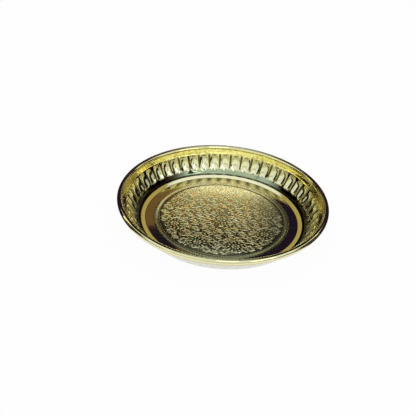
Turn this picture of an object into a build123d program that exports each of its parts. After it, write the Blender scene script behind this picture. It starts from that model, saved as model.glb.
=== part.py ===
"""A small round brass thali: one pressed sheet with a fluted wall, its edge rolled over a wire.

Millimetres. The plate stands on the XY plane, centred on the Z axis, with its open side up.
"""
import os
from math import pi, radians, tan

from build123d import *

# Overall size
rim_diameter = 203.0
plate_height = 25.5
sheet = 0.7

# Floor, and the sloping ledge ring round it
floor_diameter = 148.2
ledge_width = 4.4
ledge_rise = 1.0
ledge_edge_radius = 6.0

# Narrow shoulder outside the ledge, and the cove from there up into the wall
shoulder_width = 2.7
shoulder_rise = 0.15
cove_radius = 2.0

# Plain flare above the flutes, and the crease under the bead
flare_width = 3.5
flare_rise = 2.3
flare_radius = 5.0
crease_depth = 0.4
crease_radius = 0.6

# Edge rolled outward over a wire
wire_diameter = 4.2
wire_clearance = 0.05
curl_angle = 322.0

# Round-ended flutes pressed outward all round the wall, each bowed a little from end to end
flute_count = 50
flute_depth = 1.4
flute_bow = 8.0
flute_land = 0.5
flute_foot_margin = 2.8
flute_top_margin = 0.4

# The bead's visible face runs round the wire at this radius
bead_radius = wire_diameter / 2 + wire_clearance + sheet
bead_center = Vector(rim_diameter / 2 - bead_radius, plate_height - bead_radius)

# Corners of the sheet's upper face, as radius and height, from the axis out to the bead
floor_center = Vector(0, sheet)
floor_corner = Vector(floor_diameter / 2, sheet)
ledge_corner = floor_corner + Vector(ledge_width, ledge_rise)
foot_corner = ledge_corner + Vector(shoulder_width, shoulder_rise)
bead_start = bead_center - Vector(bead_radius, 0)
crease_corner = bead_start - Vector(0, crease_depth)
flare_corner = crease_corner - Vector(flare_width, flare_rise)
corners = [floor_center, floor_corner, ledge_corner, foot_corner, flare_corner, crease_corner, bead_start]
corner_radii = [ledge_edge_radius, ledge_edge_radius, cove_radius, flare_radius, crease_radius]

# The straight wall in the XZ plane: its direction up the slope, and where the flutes start on it
wall_foot = Plane.XZ.from_local_coords(foot_corner)
wall_line = Plane.XZ.from_local_coords(flare_corner) - wall_foot
wall_up = wall_line.normalized()
wall_inward = Vector(-wall_up.Z, 0, wall_up.X)
flute_foot = wall_foot + wall_up * flute_foot_margin

# Each flute is part of a bowed, round-ended roller, as wide as leaves a land between neighbours at their feet
flute_length = wall_line.length - flute_foot_margin - flute_top_margin
flute_width = 2 * pi * flute_foot.X / flute_count - flute_land
flute_radius = (flute_width**2 / 4 + flute_depth**2) / (2 * flute_depth)
flute_reach = flute_length / 2 - flute_width / 2
flute_nose = flute_radius - flute_reach * tan(radians(flute_bow / 2))
flute_center = flute_foot + wall_up * (flute_length / 2) + wall_inward * (flute_radius - flute_depth)
flute_axis = Axis(flute_center, wall_up)
flute_plane = Plane(flute_center, x_dir=wall_up, z_dir=Plane.XZ.z_dir)
mid_sheet = Plane(flute_foot - wall_inward * (sheet / 2), z_dir=wall_inward)
flute_mouth = Plane(flute_foot + wall_inward * flute_depth, z_dir=wall_inward)
flute_places = list(PolarLocations(0, flute_count))


def eased_radii(points: list[Vector], radii: list[float]) -> list[float]:
    """The corner radii, smaller where the two arcs that share a straight side would not both fit on it."""
    sides = [after - before for before, after in zip(points, points[1:])]
    half_turns = [tan(radians(side.get_angle(after)) / 2) for side, after in zip(sides, sides[1:])]
    needs = [0, *(radius * half_turn for radius, half_turn in zip(radii, half_turns)), 0]
    shares = [min(1, 0.98 * side.length / (start + end)) for side, start, end in zip(sides, needs, needs[1:])]
    return [radius * min(before, after) for radius, before, after in zip(radii, shares, shares[1:])]


def roller_outline(radius: float) -> Sketch:
    """Half the outline of a bowed roller with round ends of this radius, with its axis as the straight side."""
    with BuildSketch(flute_plane) as outline:
        with BuildLine():
            lower_end = CenterArc((-flute_reach, 0), radius, 180, 90 - flute_bow)
            upper_end = CenterArc((flute_reach, 0), radius, 270 + flute_bow, 90 - flute_bow)
            TangentArc(lower_end @ 1, upper_end @ 0, tangent=lower_end % 1)
            Line(upper_end @ 1, lower_end @ 0)
        make_face()
    return outline.sketch


# What the die presses out of the wall: the hollow inside, and the rib that stands out behind it
with BuildPart() as flute_hollow:
    revolve(roller_outline(flute_nose), axis=flute_axis)
    split(bisect_by=flute_mouth, keep=Keep.BOTTOM)

with BuildPart() as flute_rib:
    revolve(roller_outline(flute_nose + sheet), axis=flute_axis)
    split(bisect_by=mid_sheet, keep=Keep.BOTTOM)

# The pressed sheet, from the middle of the floor to the end of the curl
with BuildPart() as plate_sheet:
    with BuildSketch(Plane.XZ):
        with BuildLine():
            FilletPolyline(*corners, radius=eased_radii(corners, corner_radii))
            offset(amount=sheet, side=Side.RIGHT)
        make_face()
        with BuildLine():
            curl_face = CenterArc(bead_center, bead_radius, 180, -curl_angle)
            curl_inside = CenterArc(bead_center, bead_radius - sheet, 180, -curl_angle)
            Line(curl_face @ 0, curl_inside @ 0)
            Line(curl_face @ 1, curl_inside @ 1)
        make_face()
    revolve(axis=Axis.Z)
    # Neighbouring ribs run into each other, so they are joined on in two turns
    with Locations(flute_places[::2]):
        add(flute_rib.part)
    with Locations(flute_places[1::2]):
        add(flute_rib.part)
    with Locations(flute_places):
        add(flute_hollow.part, mode=Mode.SUBTRACT)
plate_sheet.part.label = "plate_sheet"

# The wire that the edge is rolled over
with BuildPart() as rim_wire:
    with BuildSketch(Plane.XZ):
        with Locations(bead_center):
            Circle(wire_diameter / 2)
    revolve(axis=Axis.Z)
rim_wire.part.label = "rim_wire"

os.makedirs("parts", exist_ok=True)
export_step(plate_sheet.part, "parts/plate_sheet.step")
export_step(rim_wire.part, "parts/rim_wire.step")
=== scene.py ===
"""Looks of a small round brass thali: a pressed, fluted plate with a chased floor, on a pale table.

Everything is in metres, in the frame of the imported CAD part: the plate stands on the XY plane, centred on
the Z axis, with its open side up.
"""
import logging
import math
from dataclasses import dataclass, field, replace
from enum import Enum
from functools import cached_property, reduce
from operator import mul
from typing import Any, Sequence

import bpy
import numpy as np
from mathutils import Matrix, Vector


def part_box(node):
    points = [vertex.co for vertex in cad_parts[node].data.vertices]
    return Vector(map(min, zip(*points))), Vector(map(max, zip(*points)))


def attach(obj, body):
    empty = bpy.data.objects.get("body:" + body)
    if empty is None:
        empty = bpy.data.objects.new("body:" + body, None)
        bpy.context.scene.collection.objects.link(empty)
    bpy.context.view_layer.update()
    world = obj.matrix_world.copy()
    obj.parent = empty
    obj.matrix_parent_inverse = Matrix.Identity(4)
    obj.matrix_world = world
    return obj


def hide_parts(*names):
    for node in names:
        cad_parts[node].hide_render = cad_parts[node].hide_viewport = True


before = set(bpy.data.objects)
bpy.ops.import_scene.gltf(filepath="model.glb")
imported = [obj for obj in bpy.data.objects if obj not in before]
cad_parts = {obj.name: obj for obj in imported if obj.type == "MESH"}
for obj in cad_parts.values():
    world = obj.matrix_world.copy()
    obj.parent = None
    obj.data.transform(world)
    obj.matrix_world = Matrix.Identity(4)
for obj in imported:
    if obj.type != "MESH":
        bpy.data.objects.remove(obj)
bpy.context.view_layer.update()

log = logging.getLogger("thali")
MM = 0.001
IMAGE_WIDTH = 416
WHITE = (1.0, 1.0, 1.0, 1.0)

Point = tuple[float, float]
Span = tuple[float, float]
Colour = tuple[float, float, float]


def mm(*values: float) -> tuple[float, ...]:
    """Millimetres as metres."""
    return tuple(value * MM for value in values)


class Wire:
    """A socket's output in a shader, on which sums are written as plain expressions."""

    def __init__(self, shader: "Shader", socket: "bpy.types.NodeSocket | None") -> None:
        """Keeps the socket and the shader that new nodes go to."""
        self.shader = shader
        self.socket = socket

    def _math(self, operation: str, *values: Any) -> "Wire":
        """One Math node on these values."""
        return self.shader.add("ShaderNodeMath", {"operation": operation}, dict(enumerate(values)))

    def __add__(self, other: Any) -> "Wire":
        """Sum."""
        return self._math("ADD", self, other)

    __radd__ = __add__

    def __sub__(self, other: Any) -> "Wire":
        """Difference."""
        return self._math("SUBTRACT", self, other)

    def __rsub__(self, other: Any) -> "Wire":
        """Difference from a number."""
        return self._math("SUBTRACT", other, self)

    def __mul__(self, other: Any) -> "Wire":
        """Product."""
        return self._math("MULTIPLY", self, other)

    __rmul__ = __mul__

    def __truediv__(self, other: Any) -> "Wire":
        """Quotient."""
        return self._math("DIVIDE", self, other)

    def __pow__(self, other: Any) -> "Wire":
        """Power."""
        return self._math("POWER", self, other)

    def highest(self, other: Any) -> "Wire":
        """The larger of the two."""
        return self._math("MAXIMUM", self, other)

    def size(self) -> "Wire":
        """The value without its sign."""
        return self._math("ABSOLUTE", self)

    def angle(self, across: "Wire") -> "Wire":
        """The angle in degrees whose sine goes with this value and whose cosine goes with the other."""
        return self._math("ARCTAN2", self, across) * math.degrees(1.0)

    def rounded(self) -> "Wire":
        """The nearest whole number."""
        return self._math("ROUND", self)

    def step(self, low: float, high: float, most: float = 1.0) -> "Wire":
        """Smooth step from 0 at low to its most at high, or the other way where low is the larger."""
        return self.shader.add("ShaderNodeMapRange", {"interpolation_type": "SMOOTHSTEP"},
                               {"Value": self, "From Min": low, "From Max": high, "To Max": most})


class Along(Enum):
    """The measures that a tone can follow: out from the axis, right, to both sides, back and up."""

    RADIUS = "radius"
    X = "x"
    SIDES = "sides"
    Y = "y"
    Z = "z"


R, X, SIDES, Y, Z = Along


@dataclass(frozen=True)
class Spot:
    """A shading point in Object coordinates: its place as a vector, and its x, y and z."""

    place: Wire
    x: Wire
    y: Wire
    z: Wire

    @cached_property
    def radius(self) -> Wire:
        """The distance from the plate's axis."""
        return (self.x * self.x + self.y * self.y) ** 0.5

    @cached_property
    def sides(self) -> Wire:
        """The distance from the middle, to the right or to the left."""
        return self.x.size()

    def share(self, fades: "Fades") -> Wire:
        """The share of a region that all of these fades bound."""
        return reduce(mul, (fade.on(self) for fade in fades))


@dataclass(frozen=True)
class Noise:
    """A noise: about how large its patches are, in metres, and its detail and roughness."""

    size: float
    detail: float = 2.0
    roughness: float = 0.5


@dataclass(frozen=True)
class Fade:
    """A tone that comes in along one measure, in millimetres: none at the start, its strength at the end."""

    along: Along
    start: float
    end: float
    strength: float = 1.0

    def on(self, spot: Spot) -> Wire:
        """The tone's share at a shading point."""
        return getattr(spot, self.along.value).step(self.start * MM, self.end * MM, self.strength)


Fades = tuple[Fade, ...]


class Shader:
    """The node tree of a material or of the world, filled by one method."""

    def __init__(self, tree: bpy.types.NodeTree) -> None:
        """Empties the tree, to be filled from scratch."""
        self.tree = tree
        tree.nodes.clear()

    def add(self, kind: str, settings: dict[str, Any] | None = None, inputs: dict[Any, Any] | None = None,
            output: int | str = 0) -> Wire:
        """Adds one node.

        Args:
            kind: The node's type.
            settings: What is set on the node first, such as a Math node's operation.
            inputs: Values or wires for its sockets, by name or by number.
            output: The socket that the result stands for.

        Returns:
            The chosen output, with no socket where the node has none.
        """
        node = self.tree.nodes.new(kind)
        for name, value in (settings or {}).items():
            setattr(node, name, value)
        for key, value in (inputs or {}).items():
            socket = node.inputs[key] if isinstance(key, int) else next(
                s for s in node.inputs if s.name == key and s.enabled)
            if isinstance(value, Wire):
                self.tree.links.new(value.socket, socket)
            else:
                socket.default_value = value
        if isinstance(output, str):
            return Wire(self, node.outputs[output])
        outputs = [s for s in node.outputs if s.enabled]
        return Wire(self, outputs[output] if outputs else None)

    def position(self) -> Spot:
        """The shading point.

        Returns:
            Its Object coordinates, together and one by one.
        """
        place = self.add("ShaderNodeTexCoord", output="Object")
        split = self.add("ShaderNodeSeparateXYZ", inputs={"Vector": place})
        return Spot(place, *(Wire(self, s) for s in split.socket.node.outputs))

    def noise(self, place: Wire, noise: Noise) -> Wire:
        """A noise over the surface."""
        inputs = {"Vector": place, "Scale": 1.0 / noise.size, "Detail": noise.detail,
                  "Roughness": noise.roughness}
        return self.add("ShaderNodeTexNoise", None, inputs, "Fac")

    def blend(self, factor: Wire, first: Wire | Colour, second: Wire | Colour) -> Wire:
        """Mixes two colours.

        Args:
            factor: The second colour's share.
            first: The colour where the factor is 0.
            second: The colour where it is 1.

        Returns:
            The mixed colour.
        """
        ends = {"A": first, "B": second}
        colours = {name: (*c, 1.0) if isinstance(c, tuple) else c for name, c in ends.items()}
        return self.add("ShaderNodeMix", {"data_type": "RGBA", "clamp_factor": True},
                        {"Factor": factor, **colours})

    def bump(self, height: Wire, distance: float, strength: float, under: Wire | None = None) -> Wire:
        """A Bump node on this height, over another one where that is given."""
        inputs = {"Height": height, "Distance": distance, "Strength": strength}
        return self.add("ShaderNodeBump", None, inputs if under is None else {**inputs, "Normal": under})

    def glow(self, colour: Any) -> Wire:
        """An emission at full strength, where a colour shows as it is written."""
        return self.add("ShaderNodeEmission", None, {"Color": colour, "Strength": 1.0})

    def finish(self, surface: Wire, output: str = "ShaderNodeOutputMaterial") -> None:
        """Links the surface to the output node."""
        self.add(output, None, {"Surface": surface})


def new_material(name: str) -> tuple[bpy.types.Material, Shader]:
    """Starts a node material.

    Args:
        name: The material's name.

    Returns:
        The material, and its empty shader.
    """
    material = bpy.data.materials.new(name)
    material.use_nodes = True
    return material, Shader(material.node_tree)


@dataclass(frozen=True)
class PolishedBrass:
    """Buffed brass of the pressed sheet: clear gold, soft ripples from the press, patina in the chased floor,
    and painted shade, reflection and highlight in places fixed on the plate.
    """

    # Clean sheet, flare tinted with a painted reflection, cove painted with shade, and one dark colour for both
    # the patina in hollows and painted shade
    gold: Colour = (0.86, 0.80, 0.52)
    olive: Colour = (0.80, 0.76, 0.50)
    # The flare's deeper yellow is a painted reflection; yellow and amber mix at random over it
    yellow: Colour = (0.98, 0.90, 0.35)
    amber: Colour = (0.74, 0.60, 0.17)
    # The cove's greenish tone is painted shade
    foot: Colour = (0.41, 0.47, 0.33)
    patina_and_shade: Colour = (0.03, 0.022, 0.010)
    # Chased floor: two tones at random, a darker tone that is painted shade, and a sage tone that is painted
    # reflection
    warm: Colour = (0.80, 0.62, 0.27)
    cool: Colour = (0.72, 0.66, 0.36)
    darker: Colour = (0.19, 0.20, 0.14)
    sage: Colour = (0.62, 0.65, 0.44)
    # Lands between the flutes with painted shade, the outside of the wall with a painted reflection, and its
    # top under the bead with painted shade
    land_shade: Colour = (0.13, 0.088, 0.008)
    outer_wall_reflection: Colour = (0.66, 0.65, 0.57)
    under_bead_shade: Colour = (0.62, 0.56, 0.27)

    # Patches in the metal, how they split two tones, and how deep those are that can be felt
    cloud: Noise = Noise(28 * MM, 3.0)
    cloud_split: Span = (0.35, 0.7)
    blotch: Noise = Noise(9 * MM)
    blotch_split: Span = (0.4, 0.6)
    mottle: Noise = Noise(2.4 * MM)
    mottle_split: Span = (0.38, 0.62)
    mottle_depth: float = 0.14 * MM
    grain: Noise = Noise(0.9 * MM, 3.0, 0.6)
    grain_depth: float = 0.03 * MM
    grain_strength: float = 0.6
    ripple: Noise = Noise(4.0 * MM, 1.5)
    ripple_depth: float = 0.01 * MM

    # Chased floor: its ground, the groove in its border, and its tones, with painted shade to the front and the
    # right, a painted reflection at the front and a painted highlight at the back
    chased: Fades = (Fade(R, 66.3, 65.9), Fade(Z, 0.3, 0.5))
    ground: Fade = Fade(Z, 0.82, 0.73)
    groove: Fades = (Fade(R, 59.2, 59.5), Fade(R, 61.0, 60.7, 0.9))
    chased_front_shade: Fade = Fade(Y, 5, -55, 0.5)
    chased_right_shade: Fade = Fade(X, 10, 55, 0.75)
    sage_front_reflection: Fade = Fade(Y, -32, -58, 0.8)
    # Painted highlight at the back of the chased floor
    bright_back_highlight: Fade = Fade(Y, 36, 54, 0.7)
    ground_dark: float = 0.05
    # Painted shade on the ground, which changes from back to front
    ground_shade_fades: Fades = (Fade(Y, 58, 25, 0.40), Fade(Y, 25, -40, 0.5), Fade(Y, -44, -60, -0.45))
    # Plain floor at the back, which is less polished, the cove with painted shade at its sides, and the flare,
    # which carries a painted reflection
    satin: Fades = (Fade(R, 65.5, 66.5), Fade(R, 74.3, 73.8), Fade(Y, 42, 60))
    cove: Fades = (Fade(R, 78.4, 79.2), Fade(Z, 6.5, 4.9))
    cove_side_shade: Fades = (Fade(SIDES, 35, 60), Fade(Y, -45, -30))
    flare: Fades = (Fade(Z, 17.9, 19.4), Fade(R, 96.7, 95.7))
    # Lower wall with painted shade at its sides, and where its inner face ends, as a radius at the table that
    # grows upwards
    wall_side_shade: Fades = (Fade(Z, 4, 6), Fade(Z, 15, 10), Fade(Y, -50, -35), Fade(SIDES, 64, 86, 0.55))
    wall_face: Span = mm(80.82, 80.62)
    wall_lean: float = 0.613
    # Lands: half width at foot and top and soft edge in degrees, and ends in shares of the rise
    flute_pitch: float = 7.2
    land_heights: Span = mm(5.0, 18.5)
    land_half_widths: Span = (0.45, 0.825)
    land_edge: Span = (0.2, -0.2)
    land_foot: Span = (0.02, 0.25)
    land_top: Span = (1.15, 0.95)
    # Outside at the front, with a painted reflection, and its top under the bead, with painted shade
    outer_front: Fade = Fade(Y, -42, -62)
    outer_wall: Fade = Fade(Z, 19.6, 19.0)
    outer_top: Fades = (Fade(Z, 19.0, 19.6), Fade(Z, 22.6, 21.6))

    # Roughness of the bare polish, and what each region adds to it
    polish: float = 0.04
    cloud_rough: float = 0.04
    grain_rough: float = 0.02
    chased_rough: float = 0.12
    ground_rough: float = 0.1
    satin_rough: float = 0.16
    scatter: float = 0.14

    def material(self, name: str) -> bpy.types.Material:
        """Builds the material.

        Args:
            name: The material's name.

        Returns:
            The new material.
        """
        material, shader = new_material(name)
        spot = shader.position()
        cloud, blotch, mottle, grain, ripple = (
            shader.noise(spot.place, noise)
            for noise in (self.cloud, self.blotch, self.mottle, self.grain, self.ripple))
        chased, flare = spot.share(self.chased), spot.share(self.flare)
        ground = chased * self.ground.on(spot)
        # Painted shade on the chased floor towards the front and the right
        darker = self.chased_front_shade.on(spot).highest(self.chased_right_shade.on(spot))
        # Patina in the ground's hollows, with painted shade that changes from back to front
        dark = sum((fade.on(spot) for fade in self.ground_shade_fades), self.ground_dark)
        inside = (spot.radius - spot.z * self.wall_lean).step(*self.wall_face)
        outer = (1.0 - inside) * self.outer_front.on(spot)
        colour = shader.blend(cloud.step(*self.cloud_split), self.gold, self.olive)
        for mask, tone in (
            # Painted reflection: the flare's deeper yellow, mottled at random
            (flare, shader.blend(mottle.step(*self.mottle_split), self.yellow, self.amber)),
            # Painted shade in the cove, darker still at its sides
            (spot.share(self.cove), shader.blend(spot.share(self.cove_side_shade), self.foot, self.patina_and_shade)),
            (chased, shader.blend(blotch.step(*self.blotch_split), self.warm, self.cool)),
            (chased * darker, self.darker),
            # Painted reflection: a sage tone at the front of the chased floor
            (chased * self.sage_front_reflection.on(spot), self.sage),
            # Painted highlight: gold at the back of the chased floor
            (chased * self.bright_back_highlight.on(spot), self.gold),
            (ground * dark.highest(spot.share(self.groove)), self.patina_and_shade),
            # Painted shade at the sides of the lower wall
            (spot.share(self.wall_side_shade), self.patina_and_shade),
            # Painted shade on the lands
            (inside * self.land(spot), self.land_shade),
            # Painted reflection of the pale table on the outside of the wall at the front
            (outer * self.outer_wall.on(spot), self.outer_wall_reflection),
            # Painted shade under the bead at the front
            (outer * spot.share(self.outer_top), self.under_bead_shade),
        ):
            colour = shader.blend(mask, colour, tone)
        roughness = (self.polish + cloud * self.cloud_rough + grain * self.grain_rough
                     + chased * self.chased_rough + ground * self.ground_rough
                     + spot.share(self.satin) * self.satin_rough)
        normal = shader.bump(ripple, self.ripple_depth, 1.0)
        normal = shader.bump(mottle * flare, self.mottle_depth, 1.0, normal)
        normal = shader.bump(grain * ground, self.grain_depth, self.grain_strength, normal)
        surface = shader.add("ShaderNodeBsdfPrincipled", None, {
            "Base Color": colour, "Metallic": 1.0 - chased * self.scatter, "Roughness": roughness,
            "Normal": normal})
        shader.finish(surface)
        return material

    def land(self, spot: Spot) -> Wire:
        """Finds the narrow lands between the flutes, which carry painted shade.

        Args:
            spot: The shading point.

        Returns:
            1 on a land, and 0 elsewhere.
        """
        (low, high), (narrow, wide) = self.land_heights, self.land_half_widths
        share = spot.y.angle(spot.x) / self.flute_pitch + 0.5
        off = (share - share.rounded()).size() * self.flute_pitch
        rise = (spot.z - low) / (high - low)
        land = (off - (rise * (wide - narrow) + narrow)).step(*self.land_edge)
        return land * rise.step(*self.land_foot) * rise.step(*self.land_top)


@dataclass(frozen=True)
class DrawnBrass:
    """Unpolished drawn wire: duller and browner, with faint marks along it."""

    brown: Colour = (0.52, 0.37, 0.13)
    darker: Colour = (0.36, 0.26, 0.10)
    marks: Noise = Noise(1.5 * MM, 3.0, 0.7)
    lines: Noise = Noise(0.2 * MM)
    line_depth: float = 0.02 * MM
    line_strength: float = 0.4
    rough: float = 0.32
    marks_rough: float = 0.2

    def material(self, name: str) -> bpy.types.Material:
        """Builds the material.

        Args:
            name: The material's name.

        Returns:
            The new material.
        """
        material, shader = new_material(name)
        spot = shader.position()
        marks = shader.noise(spot.place, self.marks)
        lines = shader.add("ShaderNodeTexNoise", {"noise_dimensions": "1D"},
                           {"W": spot.z, "Scale": 1.0 / self.lines.size, "Detail": self.lines.detail}, "Fac")
        surface = shader.add("ShaderNodeBsdfPrincipled", None, {
            "Base Color": shader.blend(marks, self.brown, self.darker), "Metallic": 1.0,
            "Roughness": self.rough + marks * self.marks_rough,
            "Normal": shader.bump(lines, self.line_depth, self.line_strength)})
        shader.finish(surface)
        return material


def deselect() -> None:
    """Leaves edit mode and selects nothing."""
    if bpy.context.mode != "OBJECT":
        bpy.ops.object.mode_set(mode="OBJECT")
    bpy.ops.object.select_all(action="DESELECT")


def select_only(piece: bpy.types.Object) -> None:
    """Makes one piece the selected and active one.

    Args:
        piece: The object to select.
    """
    deselect()
    piece.select_set(True)
    bpy.context.view_layer.objects.active = piece


def edit_all(piece: bpy.types.Object) -> None:
    """Opens a piece in edit mode with its whole mesh selected.

    Args:
        piece: The object to open.
    """
    select_only(piece)
    bpy.ops.object.mode_set(mode="EDIT")
    bpy.ops.mesh.select_all(action="SELECT")


def close_mesh(piece: bpy.types.Object, gap: float) -> None:
    """Merges doubles, turns the faces outwards and goes back to object mode.

    Args:
        piece: The object to close.
        gap: Points nearer than this become one.
    """
    edit_all(piece)
    bpy.ops.mesh.remove_doubles(threshold=gap)
    bpy.ops.mesh.normals_make_consistent(inside=False)
    bpy.ops.object.mode_set(mode="OBJECT")


def read_points(mesh: bpy.types.Mesh) -> np.ndarray:
    """Reads a mesh's points.

    Args:
        mesh: The mesh to read.

    Returns:
        Rows of x, y and z.
    """
    points = np.zeros(len(mesh.vertices) * 3)
    mesh.vertices.foreach_get("co", points)
    return points.reshape(-1, 3)


def write_points(mesh: bpy.types.Mesh, points: np.ndarray) -> None:
    """Gives the mesh these points."""
    mesh.vertices.foreach_set("co", points.ravel())
    mesh.update()


def add_object(name: str, data: bpy.types.ID) -> bpy.types.Object:
    """Puts a new object into the scene.

    Args:
        name: Its name.
        data: Its mesh, lamp or camera.

    Returns:
        The object.
    """
    piece = bpy.data.objects.new(name, data)
    bpy.context.scene.collection.objects.link(piece)
    return piece


def turned_copy(piece: bpy.types.Object, angle: float) -> bpy.types.Object:
    """Copies a piece, with its own mesh, and turns the copy about the plate's axis.

    Args:
        piece: The object to copy.
        angle: The turn, in radians.

    Returns:
        The copy.
    """
    mesh = piece.data.copy()
    mesh.transform(Matrix.Rotation(angle, 4, "Z"))
    return add_object(piece.name, mesh)


def join_pieces(name: str, parts: Sequence[bpy.types.Object]) -> bpy.types.Object:
    """Joins objects into the first of them, under one name.

    Args:
        name: The joined piece's name.
        parts: The objects to join.

    Returns:
        The joined piece.
    """
    deselect()
    for part in parts:
        part.select_set(True)
    bpy.context.view_layer.objects.active = parts[0]
    bpy.ops.object.join()
    parts[0].name = name
    return parts[0]


def repeat_round(name: str, piece: bpy.types.Object, count: int) -> bpy.types.Object:
    """Copies a piece evenly round the plate's axis and joins the copies to it.

    Args:
        name: The joined piece's name.
        piece: The piece that repeats.
        count: How often it stands on the round, itself included.

    Returns:
        The joined piece.
    """
    pitch = 2 * math.pi / count
    return join_pieces(name, [piece, *(turned_copy(piece, pitch * k) for k in range(1, count))])


def spin_line(name: str, line: Sequence[Point], steps: int, angle: float) -> bpy.types.Object:
    """Draws a line point by point and spins it about the plate's axis.

    Args:
        name: The piece's name.
        line: The line's points, as radius and height.
        steps: Steps of the spin.
        angle: The angle of the spin, in radians.

    Returns:
        The spun piece.
    """
    deselect()
    bpy.ops.mesh.primitive_plane_add(size=MM, location=(line[0][0], 0.0, line[0][1]))
    piece = bpy.context.object
    piece.name = name
    bpy.ops.object.transform_apply(location=True, rotation=True, scale=True)
    edit_all(piece)
    bpy.ops.mesh.merge(type="CENTER")
    for here, there in zip(line, line[1:]):
        step = (there[0] - here[0], 0.0, there[1] - here[1])
        bpy.ops.mesh.extrude_vertices_move(TRANSFORM_OT_translate={"value": step})
    bpy.ops.mesh.select_all(action="SELECT")
    bpy.ops.mesh.spin(steps=steps, angle=angle, center=(0.0, 0.0, 0.0), axis=(0.0, 0.0, 1.0))
    bpy.ops.object.mode_set(mode="OBJECT")
    return piece


def rounded_line(corners: Sequence[Point], radii: Sequence[float], steps: Sequence[int],
                 spans: Sequence[int]) -> list[tuple[Point, Point]]:
    """A line through corners, each eased by an arc, as points with the normal on the line's right.

    Args:
        corners: The corners, from first to last.
        radii: The arc's radius at each inner corner.
        steps: Points on each arc, less one.
        spans: Pieces that each straight side is cut into.

    Returns:
        Pairs of a point and its unit normal.
    """
    found: list[tuple[Point, Point]] = []
    knots = [np.array(c, float) for c in corners]
    start = knots[0]
    for i in range(1, len(knots)):
        along = knots[i] - knots[i - 1]
        along = along / np.linalg.norm(along)
        right = (along[1], -along[0])
        last = i == len(knots) - 1
        if last:
            end, turn = knots[i], 0.0
        else:
            after = knots[i + 1] - knots[i]
            after = after / np.linalg.norm(after)
            turn = math.atan2(along[0] * after[1] - along[1] * after[0], float(along @ after))
            end = knots[i] - along * (radii[i - 1] * math.tan(abs(turn) / 2))
        for k in range(0 if i == 1 else 1, spans[i - 1] + 1):
            found.append((tuple(start + (end - start) * (k / spans[i - 1])), right))
        if last:
            break
        side = math.copysign(1.0, turn)
        centre = end + np.array((-along[1], along[0])) * (side * radii[i - 1])
        for k in range(1, steps[i - 1] + 1):
            angle = math.atan2(right[1], right[0]) + turn * k / steps[i - 1]
            normal = (math.cos(angle), math.sin(angle))
            found.append((tuple(centre + np.array(normal) * (side * radii[i - 1])), normal))
        start = np.array(found[-1][0])
    return found


def smooth_least(first: np.ndarray, second: np.ndarray, ease: float) -> np.ndarray:
    """The smaller of two heights, with the corner between them eased."""
    mix = np.clip(0.5 + 0.5 * (second - first) / ease, 0.0, 1.0)
    return second * (1 - mix) + first * mix - ease * mix * (1 - mix)


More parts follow.
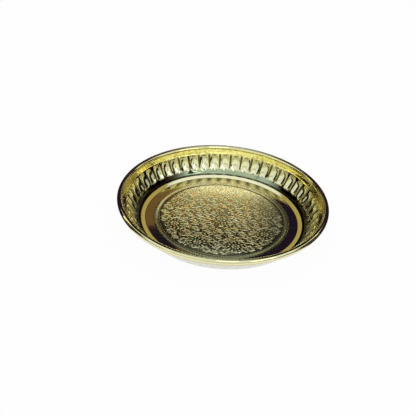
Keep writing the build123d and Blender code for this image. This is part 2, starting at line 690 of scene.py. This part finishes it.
@dataclass
class PlateShell:
    """The pressed sheet: floor, ledge ring, cove, fluted wall, flare and the edge rolled over a wire."""

    rim_radius: float
    height: float
    sheet: float = 0.7 * MM
    floor_radius: float = 74.1 * MM
    ledge_width: float = 4.4 * MM
    ledge_rise: float = 1.0 * MM
    ledge_edge_radius: float = 6.0 * MM
    shoulder_width: float = 2.7 * MM
    shoulder_rise: float = 0.15 * MM
    cove_radius: float = 2.0 * MM
    flare_width: float = 3.5 * MM
    flare_rise: float = 2.3 * MM
    flare_radius: float = 5.0 * MM
    crease_depth: float = 0.4 * MM
    crease_radius: float = 0.6 * MM
    bead_radius: float = 2.85 * MM
    curl_angle: float = math.radians(322.0)
    flute_count: int = 50
    flute_depth: float = 1.4 * MM
    flute_bow: float = math.radians(8.0)
    flute_land: float = 0.5 * MM
    flute_foot_margin: float = 2.8 * MM
    flute_top_margin: float = 0.4 * MM
    flute_ease: float = 0.12 * MM

    # How finely the section is cut: arcs and straights of both faces, and the two sides of the curl
    upper_steps: tuple[int, ...] = (3, 3, 6, 4, 3)
    upper_spans: tuple[int, ...] = (4, 1, 1, 18, 1, 1)
    lower_steps: tuple[int, ...] = (2, 2, 4, 3, 2)
    lower_spans: tuple[int, ...] = (2, 1, 1, 14, 1, 1)
    curl_steps: tuple[int, int] = (26, 17)
    # How finely a flute is cut, how far its points draw towards the land, and how deep the wall's points lie
    steps_per_flute: int = 16
    land_focus: float = 1.7
    wall_depths: Span = mm(-1.26, 4.0)
    # A depth that no flute reaches, how near points become one, and the sharpest angle that is smoothed
    clear: float = 1.0
    weld: float = 0.002 * MM
    smooth_angle: float = math.radians(50.0)
    piece: bpy.types.Object = field(init=False)

    def corners(self) -> list[Point]:
        """Works out the corners of the upper face.

        Returns:
            Pairs of radius and height, from the axis to the bead.
        """
        floor = (self.floor_radius, self.sheet)
        ledge = (floor[0] + self.ledge_width, floor[1] + self.ledge_rise)
        foot = (ledge[0] + self.shoulder_width, ledge[1] + self.shoulder_rise)
        bead = (self.rim_radius - 2 * self.bead_radius, self.height - self.bead_radius)
        crease = (bead[0], bead[1] - self.crease_depth)
        flare = (crease[0] - self.flare_width, crease[1] - self.flare_rise)
        return [(0.0, self.sheet), floor, ledge, foot, flare, crease, bead]

    def section(self) -> list[Point]:
        """Draws the sheet's closed outline.

        Returns:
            Its points, from the axis along the upper face and back along the lower one.
        """
        radii = (self.ledge_edge_radius, self.ledge_edge_radius, self.cove_radius, self.flare_radius,
                 self.crease_radius)
        upper = rounded_line(self.corners(), radii, self.upper_steps, self.upper_spans)
        lower = rounded_line(self.corners(), radii, self.lower_steps, self.lower_spans)
        centre = np.array((self.rim_radius - self.bead_radius, self.height - self.bead_radius))

        def turn(radius: float, steps: int) -> list[Point]:
            """Points round the wire, from the crease to the end of the curl."""
            angles = [math.pi - self.curl_angle * k / steps for k in range(steps + 1)]
            return [tuple(centre + radius * np.array((math.cos(a), math.sin(a)))) for a in angles]

        outer_steps, inner_steps = self.curl_steps
        outline = [point for point, _ in upper[:-1]] + turn(self.bead_radius, outer_steps)
        outline += reversed(turn(self.bead_radius - self.sheet, inner_steps))
        outline += [(p[0] + n[0] * self.sheet, p[1] + n[1] * self.sheet) for p, n in reversed(lower[:-1])]
        return outline

    def build(self) -> bpy.types.Object:
        """Spins the section through one flute, presses that, and copies it round.

        Returns:
            The finished piece.
        """
        pitch = 2 * math.pi / self.flute_count
        self.piece = spin_line("brass_plate", self.section(), self.steps_per_flute, pitch)
        self.press_flutes()
        repeat_round("brass_plate", self.piece, self.flute_count)
        close_mesh(self.piece, self.weld)
        select_only(self.piece)
        bpy.ops.object.shade_smooth_by_angle(angle=self.smooth_angle)
        return self.piece

    def press_flutes(self) -> None:
        """Presses one flute's halves outward, both faces alike, with the points drawn towards its land."""
        _, _, _, foot, flare, _, _ = (np.array(c) for c in self.corners())
        length = float(np.linalg.norm(flare - foot))
        up = (flare - foot) / length
        inward = np.array((-up[1], up[0]))
        flute_foot = foot + up * self.flute_foot_margin
        run = length - self.flute_foot_margin - self.flute_top_margin
        pitch = 2 * math.pi / self.flute_count
        width = pitch * flute_foot[0] - self.flute_land
        radius = (width**2 / 4 + self.flute_depth**2) / (2 * self.flute_depth)
        reach = run / 2 - width / 2
        nose = radius - reach * math.tan(self.flute_bow / 2)
        points = read_points(self.piece.data)
        r, angle = np.hypot(points[:, 0], points[:, 1]), np.arctan2(points[:, 1], points[:, 0])
        aside = 2 * np.abs(angle) / pitch - 1
        angle = np.sign(angle) * pitch * (0.5 + 0.5 * np.sign(aside) * np.abs(aside) ** self.land_focus)
        section = np.stack((r, points[:, 2]), 1) - flute_foot
        along, depth = section @ up, section @ inward
        off = np.abs(along - run / 2)
        lowest, highest = self.wall_depths
        on_wall = (off < run / 2 + self.sheet) & (depth > lowest) & (depth < highest)
        across = r * (angle - pitch * np.round(angle / pitch))
        thick = np.where(depth < -self.sheet / 2, self.sheet, 0.0)
        span = reach + (nose + thick) * math.sin(self.flute_bow)
        bow = span / math.sin(self.flute_bow)
        bowed = radius + thick - bow + np.sqrt(np.maximum(bow**2 - off**2, 0.0))
        rounded = np.sqrt(np.maximum((nose + thick) ** 2 - np.maximum(off - reach, 0.0) ** 2, 0.0))
        inside = np.where(off < span, bowed, rounded) ** 2 - across**2
        pressed = (radius - self.flute_depth) - np.sqrt(np.maximum(inside, 0.0))
        pressed = np.where(on_wall & (inside > 0), pressed, depth + self.clear)
        change = smooth_least(depth, pressed, self.flute_ease) - depth
        r = r + change * inward[0]
        points = np.stack((r * np.cos(angle), r * np.sin(angle), points[:, 2] + change * inward[1]), 1)
        write_points(self.piece.data, points)

    def dress(self, brass: PolishedBrass) -> None:
        """Gives the plate its brass and puts it in place of the CAD sheet.

        Args:
            brass: The finish.
        """
        self.piece.data.materials.append(brass.material("polished_brass"))
        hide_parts("plate_sheet")
        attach(self.piece, "root")
        log.info("brass_plate: %d faces", len(self.piece.data.polygons))


class Pad(Enum):
    """The shapes that the chaser's punches leave standing on the floor."""

    LEAF = "leaf"
    PETAL = "petal"
    SEED = "seed"
    BAR = "bar"


@dataclass(frozen=True)
class Mark:
    """One raised shape on the floor: its kind, place, direction and size, in millimetres and degrees."""

    pad: Pad
    radius: float
    angle: float
    heading: float
    length: float
    width: float


@dataclass(frozen=True)
class Scroll:
    """A circle on the floor: its middle's radius and angle, and its own radius, in millimetres and degrees."""

    radius: float
    angle: float
    size: float


@dataclass(frozen=True)
class Ring:
    """Equal marks on a circle: their kind and number, slant from pointing outwards, length and width."""

    pad: Pad
    count: int
    slant: float
    length: float
    width: float


@dataclass
class ChasedFloor:
    """The floral ground on the plate's floor: flowers among dense leaf scrolls, and a rope border.

    Its measures are in millimetres and degrees, apart from heights.
    """

    floor_height: float
    relief: float = 0.46 * MM
    sink: float = 0.04 * MM
    sectors: int = 8
    turn: float = 21.6

    # Outlines of the pads: where leaf and petal are widest and how full they are, and steps up to the crown
    leaf_belly: tuple[float, float] = (0.42, 1.1)
    petal_belly: tuple[float, float] = (0.64, 0.7)
    belly_places: tuple[float, ...] = (0.2, 0.5, 0.8)
    bar_shoulder: float = 0.42
    seed_sides: int = 8
    crown: tuple[tuple[float, Point], ...] = ((0.6, (0.84, 0.66)), (0.4, (0.6, 0.3)))
    smooth_angle: float = math.radians(40.0)

    # Flower in the middle of the floor, and the rosette in each sector
    middle_flower: tuple[tuple[Scroll, Ring], ...] = (
        (Scroll(0.0, 0.0, 3.6), Ring(Pad.PETAL, 8, 0.0, 3.8, 2.5)),
        (Scroll(0.0, 22.5, 7.6), Ring(Pad.PETAL, 16, 0.0, 3.4, 2.4)),
    )
    middle_seed: Mark = Mark(Pad.SEED, 0.0, 0.0, 0.0, 2.6, 2.6)
    rosette: tuple[tuple[Scroll, Ring], ...] = (
        (Scroll(47.0, 0.0, 3.0), Ring(Pad.PETAL, 8, 0.0, 3.0, 2.1)),
        (Scroll(47.0, 0.0, 6.7), Ring(Pad.PETAL, 12, 0.0, 3.0, 2.4)),
    )
    rosette_seed: Mark = Mark(Pad.SEED, 47.0, 0.0, 0.0, 2.2, 2.2)
    rosette_edge: Scroll = Scroll(47.0, 0.0, 8.2)

    # Leaf scrolls: leaves round the edge, petals round the heart of the larger ones, and a seed
    scrolls: tuple[Scroll, ...] = (
        Scroll(54.0, 13.0, 5.2), Scroll(54.0, -13.0, 5.2), Scroll(56.0, 22.5, 3.8), Scroll(42.0, 22.5, 4.8),
        Scroll(36.5, 8.5, 4.3), Scroll(36.5, -8.5, 4.3), Scroll(31.5, 22.5, 4.5), Scroll(27.0, 0.0, 4.2),
        Scroll(21.5, 22.5, 3.9), Scroll(17.5, 0.0, 3.0), Scroll(13.5, 22.5, 2.4),
    )
    leaf: tuple[float, float] = (5.2, 1.6)
    edge_inset: float = 1.2
    edge_spacing: float = 2.9
    edge_slant: float = 52.0
    heart_from: float = 3.5
    heart_inset: float = 3.0
    heart_spacing: float = 2.0
    heart_least: int = 4
    heart_slant: float = -30.0
    heart_petal: tuple[float, float] = (2.2, 1.3)
    seed: float = 1.0

    # Leaves in the gaps: steps of the search outwards and along, room, and how their direction sways
    field_radii: tuple[float, float] = (10.6, 58.4)
    fill_steps: tuple[float, float] = (0.42, 0.45)
    fill_gap: float = 2.6
    fill_sway: float = 22.0
    fill_waves: tuple[float, float] = (1.9, 11.0)

    # Border: the rope's strands, and the thin lines on both sides of it
    rope_count: int = 240
    rope_strand: Mark = Mark(Pad.BAR, 63.1, 0.0, 40.0, 3.45, 0.8)
    line_radii: tuple[float, ...] = (60.9, 65.2)
    line_half_width: float = 0.2
    line_steps: tuple[int, int] = (240, 8)

    pads: dict[Pad, bpy.types.Mesh] = field(default_factory=dict)
    pieces: list[bpy.types.Object] = field(default_factory=list)

    def outline(self, pad: Pad) -> list[Point]:
        """Draws a pad's outline.

        Args:
            pad: The kind of pad.

        Returns:
            Its points, on a unit length along X and a unit width along Y.
        """
        if pad is Pad.SEED:
            turns = np.linspace(0, 2 * math.pi, self.seed_sides, False)
            return [(0.5 * math.cos(a), 0.5 * math.sin(a)) for a in turns]
        if pad is Pad.BAR:
            end = self.bar_shoulder
            return [(0.5, 0.0), (end, 0.5), (-end, 0.5), (-0.5, 0.0), (-end, -0.5), (end, -0.5)]
        full, power = self.leaf_belly if pad is Pad.LEAF else self.petal_belly
        side = []
        for t in self.belly_places:
            share = t / full if t < full else (1 - t) / (1 - full)
            side.append((t - 0.5, 0.5 * math.sin(0.5 * math.pi * share) ** power))
        return [(0.5, 0.0), *reversed(side), (-0.5, 0.0), *((x, -y) for x, y in side)]

    def raise_pad(self, pad: Pad) -> bpy.types.Mesh:
        """Models one pad: its outline drawn up in two steps to a rounded crown.

        Args:
            pad: The kind of pad.

        Returns:
            Its mesh, a unit long, a unit wide and a unit high.
        """
        outline = self.outline(pad)
        deselect()
        bpy.ops.mesh.primitive_circle_add(vertices=len(outline), radius=0.5, fill_type="NGON")
        piece = bpy.context.object
        flat = read_points(piece.data)
        order = np.argsort(np.arctan2(flat[:, 1], flat[:, 0]) % (2 * math.pi))
        ring = sorted(outline, key=lambda p: math.atan2(p[1], p[0]) % (2 * math.pi))
        for index, (x, y) in zip(order, ring):
            flat[index] = (x, y, 0.0)
        write_points(piece.data, flat)
        bpy.ops.object.mode_set(mode="EDIT")
        bpy.ops.mesh.select_all(action="SELECT")
        for lift, size in self.crown:
            bpy.ops.mesh.extrude_region_move(TRANSFORM_OT_translate={"value": (0.0, 0.0, lift)})
            bpy.ops.transform.resize(value=(size[0], size[1], 1.0), center_override=(0.0, 0.0, 0.0))
        bpy.ops.mesh.select_all(action="SELECT")
        bpy.ops.mesh.normals_make_consistent(inside=False)
        bpy.ops.object.mode_set(mode="OBJECT")
        bpy.ops.object.shade_smooth_by_angle(angle=self.smooth_angle)
        mesh = piece.data.copy()
        bpy.data.objects.remove(piece)
        return mesh

    def place(self, mark: Mark) -> bpy.types.Object:
        """Puts a copy of a mark's pad in its place on the floor.

        Args:
            mark: The mark.

        Returns:
            The new object.
        """
        mesh = self.pads[mark.pad].copy()
        matrix = Matrix.Rotation(math.radians(mark.angle + self.turn), 4, "Z")
        matrix = matrix @ Matrix.Translation((mark.radius * MM, 0.0, self.floor_height - self.sink))
        matrix = matrix @ Matrix.Rotation(math.radians(mark.heading), 4, "Z")
        matrix = matrix @ Matrix.Diagonal((mark.length * MM, mark.width * MM, self.relief + self.sink, 1.0))
        mesh.transform(matrix)
        return add_object("chased_mark", mesh)

    def ring(self, circle: Scroll, row: Ring) -> list[Mark]:
        """Sets marks round a circle.

        Args:
            circle: The circle through the middles of the marks.
            row: The marks.

        Returns:
            The marks, each in its place.
        """
        marks = []
        for k in range(row.count):
            turn = 2 * math.pi * (k + 0.5) / row.count
            x, y = circle.radius + circle.size * math.cos(turn), circle.size * math.sin(turn)
            at = math.degrees(math.atan2(y, x))
            heading = math.degrees(turn) - at + row.slant
            marks.append(Mark(row.pad, math.hypot(x, y), circle.angle + at, heading, row.length, row.width))
        return marks

    def flower(self, rings: Sequence[tuple[Scroll, Ring]], seed: Mark) -> list[Mark]:
        """A flower's marks: its rings of petals, and its seed."""
        return [mark for circle, row in rings for mark in self.ring(circle, row)] + [seed]

    def scroll_marks(self, scroll: Scroll) -> list[Mark]:
        """Fills a scroll: slanting leaves round its edge, smaller ones inside, and a seed in the middle.

        Args:
            scroll: The scroll.

        Returns:
            Its marks.
        """
        side = math.copysign(1.0, scroll.angle)
        edge = replace(scroll, size=scroll.size - self.edge_inset)
        count = round(2 * math.pi * edge.size / self.edge_spacing)
        marks = self.ring(edge, Ring(Pad.LEAF, count, self.edge_slant * side, *self.leaf))
        if scroll.size > self.heart_from:
            heart = replace(scroll, size=scroll.size - self.heart_inset)
            count = max(self.heart_least, round(2 * math.pi * heart.size / self.heart_spacing))
            marks += self.ring(heart, Ring(Pad.PETAL, count, self.heart_slant * side, *self.heart_petal))
        marks.append(Mark(Pad.SEED, scroll.radius, scroll.angle, 0.0, self.seed, self.seed))
        return marks

    def sector_marks(self) -> list[Mark]:
        """Lays out one sector: the rosette on its middle line, the scrolls, and leaves in all gaps.

        Returns:
            The sector's marks.
        """
        marks = self.flower(self.rosette, self.rosette_seed)
        for scroll in self.scrolls:
            marks += self.scroll_marks(scroll)
        return marks + self.fill(marks)

    def fill(self, marks: Sequence[Mark]) -> list[Mark]:
        """Finds room for small leaves in the gaps between marks, each along the nearest scroll's edge.

        Args:
            marks: The marks that stand already.

        Returns:
            The new leaves.
        """
        pitch = 2 * math.pi / self.sectors

        def spot(radius: float, angle: float) -> complex:
            """A place as a complex number."""
            return complex(radius * math.cos(angle), radius * math.sin(angle))

        turned = np.exp(1j * pitch * np.array((-1, 0, 1)))
        taken = [spot(m.radius, math.radians(m.angle)) * t for m in marks for t in turned]
        circles = [self.rosette_edge, *self.scrolls]
        middles = np.array([spot(s.radius, math.radians(s.angle)) * t for s in circles for t in turned])
        sizes = np.repeat([s.size for s in circles], len(turned))
        row_step, leaf_step = self.fill_steps
        leaves = []
        radius, row = self.field_radii[0], 0
        while radius < self.field_radii[1]:
            count = int(pitch * radius / leaf_step)
            for k in range(count):
                angle = pitch * ((k + 0.5 * (row % 2)) / count - 0.5)
                here = spot(radius, angle)
                if np.min(np.abs(np.array(taken) - here)) < self.fill_gap:
                    continue
                away = here - middles
                nearest = int(np.argmin(np.abs(np.abs(away) - sizes)))
                sway = self.fill_sway * math.sin(self.fill_waves[0] * radius + self.fill_waves[1] * angle)
                heading = math.degrees(np.angle(away[nearest])) + 90.0 + sway - math.degrees(angle)
                leaves.append(Mark(Pad.LEAF, radius, math.degrees(angle), heading, *self.leaf))
                taken += [here * t for t in turned]
            radius += row_step
            row += 1
        return leaves

    def build(self) -> None:
        """Models the pads once and lays them out: the middle flower, the sectors, the rope and the lines."""
        self.pads = {pad: self.raise_pad(pad) for pad in Pad}
        middle = self.flower(self.middle_flower, self.middle_seed)
        self.pieces.append(join_pieces("chased_middle_flower", [self.place(mark) for mark in middle]))
        sector = join_pieces("chased_sector", [self.place(mark) for mark in self.sector_marks()])
        self.pieces.append(repeat_round("chased_flower_ground", sector, self.sectors))
        self.pieces.append(repeat_round("chased_rope_border", self.place(self.rope_strand), self.rope_count))
        lines = [self.line(radius) for radius in self.line_radii]
        self.pieces.append(join_pieces("chased_border_lines", lines))

    def line(self, radius: float) -> bpy.types.Object:
        """Models a low ring line of the border.

        Args:
            radius: The ring's radius.

        Returns:
            The ring.
        """
        deselect()
        bpy.ops.mesh.primitive_torus_add(
            major_radius=radius * MM, minor_radius=self.line_half_width * MM, major_segments=self.line_steps[0],
            minor_segments=self.line_steps[1], location=(0.0, 0.0, self.floor_height))
        bpy.ops.object.transform_apply(location=True, rotation=True, scale=True)
        return bpy.context.object

    def dress(self, brass: PolishedBrass) -> None:
        """Gives the chased pieces their brass and fixes them to the plate.

        Args:
            brass: The finish.
        """
        material = brass.material("chased_brass")
        for piece in self.pieces:
            piece.data.materials.clear()
            piece.data.materials.append(material)
            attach(piece, "root")
            log.info("%s: %d faces", piece.name, len(piece.data.polygons))


@dataclass
class RimWire:
    """The wire in the rolled edge: the CAD piece itself, with a drawn finish."""

    node: str = "rim_wire"

    def dress(self, brass: DrawnBrass) -> None:
        """Gives the wire its finish.

        Args:
            brass: The finish.
        """
        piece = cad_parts[self.node]
        piece.data.materials.clear()
        piece.data.materials.append(brass.material("wire_brass"))
        log.info("%s: dressed", self.node)


@dataclass(frozen=True)
class Patch:
    """A soft-edged patch of the dome: its middle, half spans and soft edge in degrees, and its colour."""

    azimuth: float
    elevation: float
    half_width: float
    half_height: float
    colour: Colour
    soft: float = 5.0


@dataclass(frozen=True)
class Card:
    """A plain card near the plate: its span in x, its lower and upper edge in y and z, and its colour."""

    name: str
    span: Span
    lower: Point
    upper: Point
    colour: Colour


@dataclass(frozen=True)
class Softbox:
    """A soft lamp, aimed at the plate: its direction in degrees, distance, size and brightness."""

    name: str
    azimuth: float
    elevation: float
    distance: float
    size: tuple[float, float]
    glow: float


def direction(azimuth: float, elevation: float) -> Vector:
    """The unit vector from the plate towards this direction, in degrees."""
    a, e = math.radians(azimuth), math.radians(elevation)
    return Vector((math.cos(a) * math.cos(e), math.sin(a) * math.cos(e), math.sin(e)))


@dataclass
class Studio:
    """A pale table, a dome and cards that only the metal sees, soft lamps, and the camera.

    All of it but the table is turned with the camera about the plate's axis.
    """

    aim: Vector
    turn: float = 2.6

    # Camera, with the photograph's focal length and off-centre framing in pixels
    distance: float = 0.812
    camera_elevation: float = 33.23
    roll: float = 5.03
    focal_pixels: float = 845.9
    middle_pixels: tuple[float, float] = (15.25, 8.62)
    sensor_width: float = 36.0
    clip: Span = (0.01, 50.0)

    # Table, how far below the plate it lies, how much of it shows as white, and the room's even light
    table_size: float = 8.0
    table_drop: float = 0.0002
    table_colour: Colour = (0.9, 0.9, 0.9)
    table_white: float = 0.965
    room_light: float = 0.75

    # Dome, each patch painted over those before it
    dome_radius: float = 1.7
    dome_steps: tuple[int, int] = (96, 48)
    room: Colour = (0.014, 0.012, 0.016)
    patches: tuple[Patch, ...] = (
        Patch(85.0, 12.0, 42.0, 45.0, (0.014, 0.008, 0.022)),
        Patch(-90.0, 8.0, 50.0, 14.0, (0.56, 0.58, 0.37), 8.0),
        Patch(-90.0, 29.0, 42.0, 5.0, (0.92, 1.00, 0.82), 6.0),
        Patch(-87.0, 50.0, 105.0, 9.0, (0.95, 1.00, 1.00)),
        Patch(-154.0, 29.0, 15.0, 13.0, (0.85, 0.92, 0.90)),
        Patch(-20.0, 31.0, 14.0, 11.0, (0.85, 0.92, 0.90)),
        Patch(90.0, 82.0, 95.0, 8.0, (0.70, 0.72, 0.55), 6.0),
        Patch(-90.0, 80.0, 75.0, 12.0, (0.95, 1.00, 0.90), 7.0),
        Patch(90.0, 62.0, 38.0, 13.0, (0.014, 0.008, 0.022), 3.0),
        Patch(90.0, 53.0, 8.0, 7.0, (1.00, 1.05, 1.05), 2.0),
        Patch(-4.0, 62.0, 12.0, 7.0, (0.90, 0.92, 0.60)),
        Patch(18.0, 47.0, 8.0, 8.0, (0.92, 0.92, 0.58)),
        Patch(36.0, 33.0, 7.0, 8.0, (1.00, 0.95, 0.52)),
        Patch(53.0, 20.0, 8.0, 8.0, (0.34, 0.29, 0.13)),
        Patch(182.0, 62.0, 12.0, 7.0, (0.90, 0.92, 0.60)),
        Patch(162.0, 47.0, 7.0, 8.0, (0.95, 0.92, 0.52)),
        Patch(148.0, 27.0, 11.0, 13.0, (1.10, 1.06, 0.60), 4.0),
        Patch(125.0, 17.0, 7.0, 7.0, (0.28, 0.23, 0.10)),
        Patch(95.5, 34.0, 2.5, 6.0, (0.17, 0.10, 0.038), 1.5),
    )

    # Dark sheet and ring that draw the metal's edge: their ends in degrees, and sections as radius and height
    edge_span: Span = (-25.0, 205.0)
    edge_steps: int = 64
    sheet_line: tuple[Point, Point] = ((0.112, 0.0003), (0.7, 0.0003))
    ring_line: tuple[Point, Point] = ((0.1026, 0.0240), (0.1026, 0.0290))

    # Cards behind the plate, of which the pale one is brighter than white
    dark: Colour = (0.014, 0.009, 0.022)
    pale: Colour = (3.20, 3.25, 2.30)
    ledge_gold: Colour = (0.46, 0.38, 0.14)
    cards: tuple[Card, ...] = (
        Card("flag", (-0.45, -0.118), (0.22, 0.0), (0.22, 0.20), dark),
        Card("flag", (0.118, 0.45), (0.22, 0.0), (0.22, 0.20), dark),
        Card("back_card", (-0.045, 0.065), (0.140, 0.063), (0.215, 0.084), pale),
        Card("ledge_card", (-0.056, -0.038), (0.150, 0.075), (0.150, 0.122), ledge_gold),
        Card("ledge_card", (0.038, 0.056), (0.150, 0.075), (0.150, 0.122), ledge_gold),
        Card("floor_shade", (-0.105, -0.048), (0.150, 0.122), (0.150, 0.205), dark),
    )
    lamps: tuple[Softbox, ...] = (
        Softbox("right_softbox", -40.0, 40.0, 1.3, (0.5, 0.3), 1.6),
        Softbox("top_softbox", -75.0, 64.0, 1.4, (0.35, 0.25), 1.8),
    )

    def build(self) -> None:
        """Sets the table, the dome, the cards, the lamps, the world and the camera."""
        self.table()
        self.dome()
        self.swept_card("edge_sheet", self.sheet_line)
        self.swept_card("edge_ring", self.ring_line)
        for card in self.cards:
            self.card(card)
        for lamp in self.lamps:
            self.lamp(lamp)
        self.world()
        self.camera()

    def seen(self, shader: Shader) -> Wire:
        """Tells the rays apart that show the background: to the camera, in metal and through glass.

        Args:
            shader: The background's shader.

        Returns:
            1 on those rays, and 0 on others.
        """
        path = shader.add("ShaderNodeLightPath").socket.node.outputs
        rays = [Wire(shader, path[name]) for name in ("Is Camera Ray", "Is Glossy Ray", "Is Transmission Ray")]
        return rays[0].highest(rays[1]).highest(rays[2])

    def table(self) -> None:
        """A wide pale table that keeps the plate's shadow."""
        deselect()
        bpy.ops.mesh.primitive_plane_add(size=self.table_size, location=(0.0, 0.0, -self.table_drop))
        top = bpy.context.object
        top.name = "pale_table"
        material, shader = new_material("pale_table")
        matt = shader.add("ShaderNodeBsdfDiffuse", None, {"Color": (*self.table_colour, 1.0)})
        white = self.seen(shader) * self.table_white
        shader.finish(shader.add("ShaderNodeMixShader", None, {0: white, 1: matt, 2: shader.glow(WHITE)}))
        top.data.materials.append(material)

    def dome(self) -> None:
        """The room round the plate, painted in soft patches and seen only in the metal."""
        deselect()
        segments, rings = self.dome_steps
        bpy.ops.mesh.primitive_uv_sphere_add(segments=segments, ring_count=rings, radius=self.dome_radius)
        piece = bpy.context.object
        piece.name = "dome"
        material, shader = new_material("dome")
        spot = shader.position()
        rise = spot.z.angle(spot.radius)
        colour: Any = self.room
        for patch in self.patches:
            towards = direction(patch.azimuth + self.turn, 0.0)
            c, s = towards.x, towards.y
            turn = (spot.y * c - spot.x * s).angle(spot.x * c + spot.y * s).size()
            lift = (rise - patch.elevation).size()
            mask = turn.step(patch.half_width + patch.soft, patch.half_width)
            mask = mask * lift.step(patch.half_height + patch.soft, patch.half_height)
            colour = shader.blend(mask, colour, patch.colour)
        shader.finish(shader.glow(colour))
        self.show_in_metal(piece, material)

    def swept_card(self, name: str, line: tuple[Point, Point]) -> None:
        """A dark card swept round beside and behind the plate, which draws the edge of the metal.

        Args:
            name: The card's name.
            line: The ends of its section, as radius and height.
        """
        start, end = (math.radians(a + self.turn) for a in self.edge_span)
        piece = spin_line(name, line, self.edge_steps, start - end)
        piece.data.transform(Matrix.Rotation(start, 4, "Z"))
        self.show_in_metal(piece, self.paint(self.dark))

    def card(self, card: Card) -> None:
        """Sets one card, seen only in the metal.

        Args:
            card: The card's place and colour.
        """
        deselect()
        bpy.ops.mesh.primitive_plane_add(size=1.0)
        piece = bpy.context.object
        piece.name = card.name
        write_points(piece.data, np.array([(x, *edge) for edge in (card.lower, card.upper) for x in card.span]))
        piece.data.transform(Matrix.Rotation(math.radians(self.turn), 4, "Z"))
        self.show_in_metal(piece, self.paint(card.colour))

    def paint(self, colour: Colour) -> bpy.types.Material:
        """Mixes an even paint for a card.

        Args:
            colour: The paint's colour.

        Returns:
            Its material.
        """
        material, shader = new_material("card")
        shader.finish(shader.glow((*colour, 1.0)))
        return material

    def show_in_metal(self, piece: bpy.types.Object, paint: bpy.types.Material) -> None:
        """Paints a piece of the studio and lets only the metal see it.

        Args:
            piece: The dome or a card.
            paint: Its material.
        """
        piece.data.materials.append(paint)
        piece.visible_camera = False
        piece.visible_shadow = False
        piece.visible_diffuse = False

    def lamp(self, box: Softbox) -> None:
        """Sets one soft lamp, aimed at the plate and hidden from the camera.

        Args:
            box: The lamp.
        """
        light = bpy.data.lights.new(box.name, "AREA")
        light.shape = "RECTANGLE"
        light.size, light.size_y = box.size
        light.energy = box.glow * math.pi * box.size[0] * box.size[1]
        lamp = add_object(box.name, light)
        towards = direction(box.azimuth + self.turn, box.elevation)
        lamp.location = self.aim + towards * box.distance
        lamp.rotation_euler = towards.to_track_quat("Z", "Y").to_euler()
        lamp.visible_camera = False

    def world(self) -> None:
        """White where the background shows, and an even dim light elsewhere."""
        world = bpy.data.worlds.new("pale_room")
        bpy.context.scene.world = world
        world.use_nodes = True
        shader = Shader(world.node_tree)
        dim, white = (shader.add("ShaderNodeBackground", None, {"Color": WHITE, "Strength": strength})
                      for strength in (self.room_light, 1.0))
        surface = shader.add("ShaderNodeMixShader", None, {0: self.seen(shader), 1: dim, 2: white})
        shader.finish(surface, "ShaderNodeOutputWorld")

    def camera(self) -> None:
        """The camera, tilted sideways and aimed a little beside the plate as the photograph's was."""
        data = bpy.data.cameras.new("camera")
        data.sensor_width = self.sensor_width
        data.lens = self.focal_pixels * data.sensor_width / IMAGE_WIDTH
        data.clip_start, data.clip_end = self.clip
        camera = add_object("camera", data)
        back = direction(self.turn - 90.0, self.camera_elevation)
        right = direction(self.turn, 0.0)
        up = back.cross(right)
        c, s = math.cos(math.radians(self.roll)), math.sin(math.radians(self.roll))
        right, up = right * c + up * s, up * c - right * s
        location = self.aim + back * self.distance
        beside = right * self.middle_pixels[0] + up * self.middle_pixels[1]
        back = (back + beside / self.focal_pixels).normalized()
        right = (right - back * right.dot(back)).normalized()
        up = back.cross(right)
        camera.matrix_world = Matrix.Translation(location) @ Matrix((right, up, back)).transposed().to_4x4()
        bpy.context.scene.camera = camera


def main() -> None:
    """Builds and dresses the plate, then sets the studio round it."""
    logging.basicConfig(level=logging.INFO, format="%(name)s: %(message)s")
    bpy.context.scene.view_settings.view_transform = "Standard"
    low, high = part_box("plate_sheet")
    shell = PlateShell(rim_radius=(high.x - low.x) / 2, height=high.z)
    shell.build()
    shell.dress(PolishedBrass())
    floor = ChasedFloor(floor_height=shell.sheet)
    floor.build()
    floor.dress(PolishedBrass())
    RimWire().dress(DrawnBrass())
    Studio(aim=Vector((0.0, 0.0, shell.height - shell.bead_radius))).build()


if __name__ == "__main__":
    main()
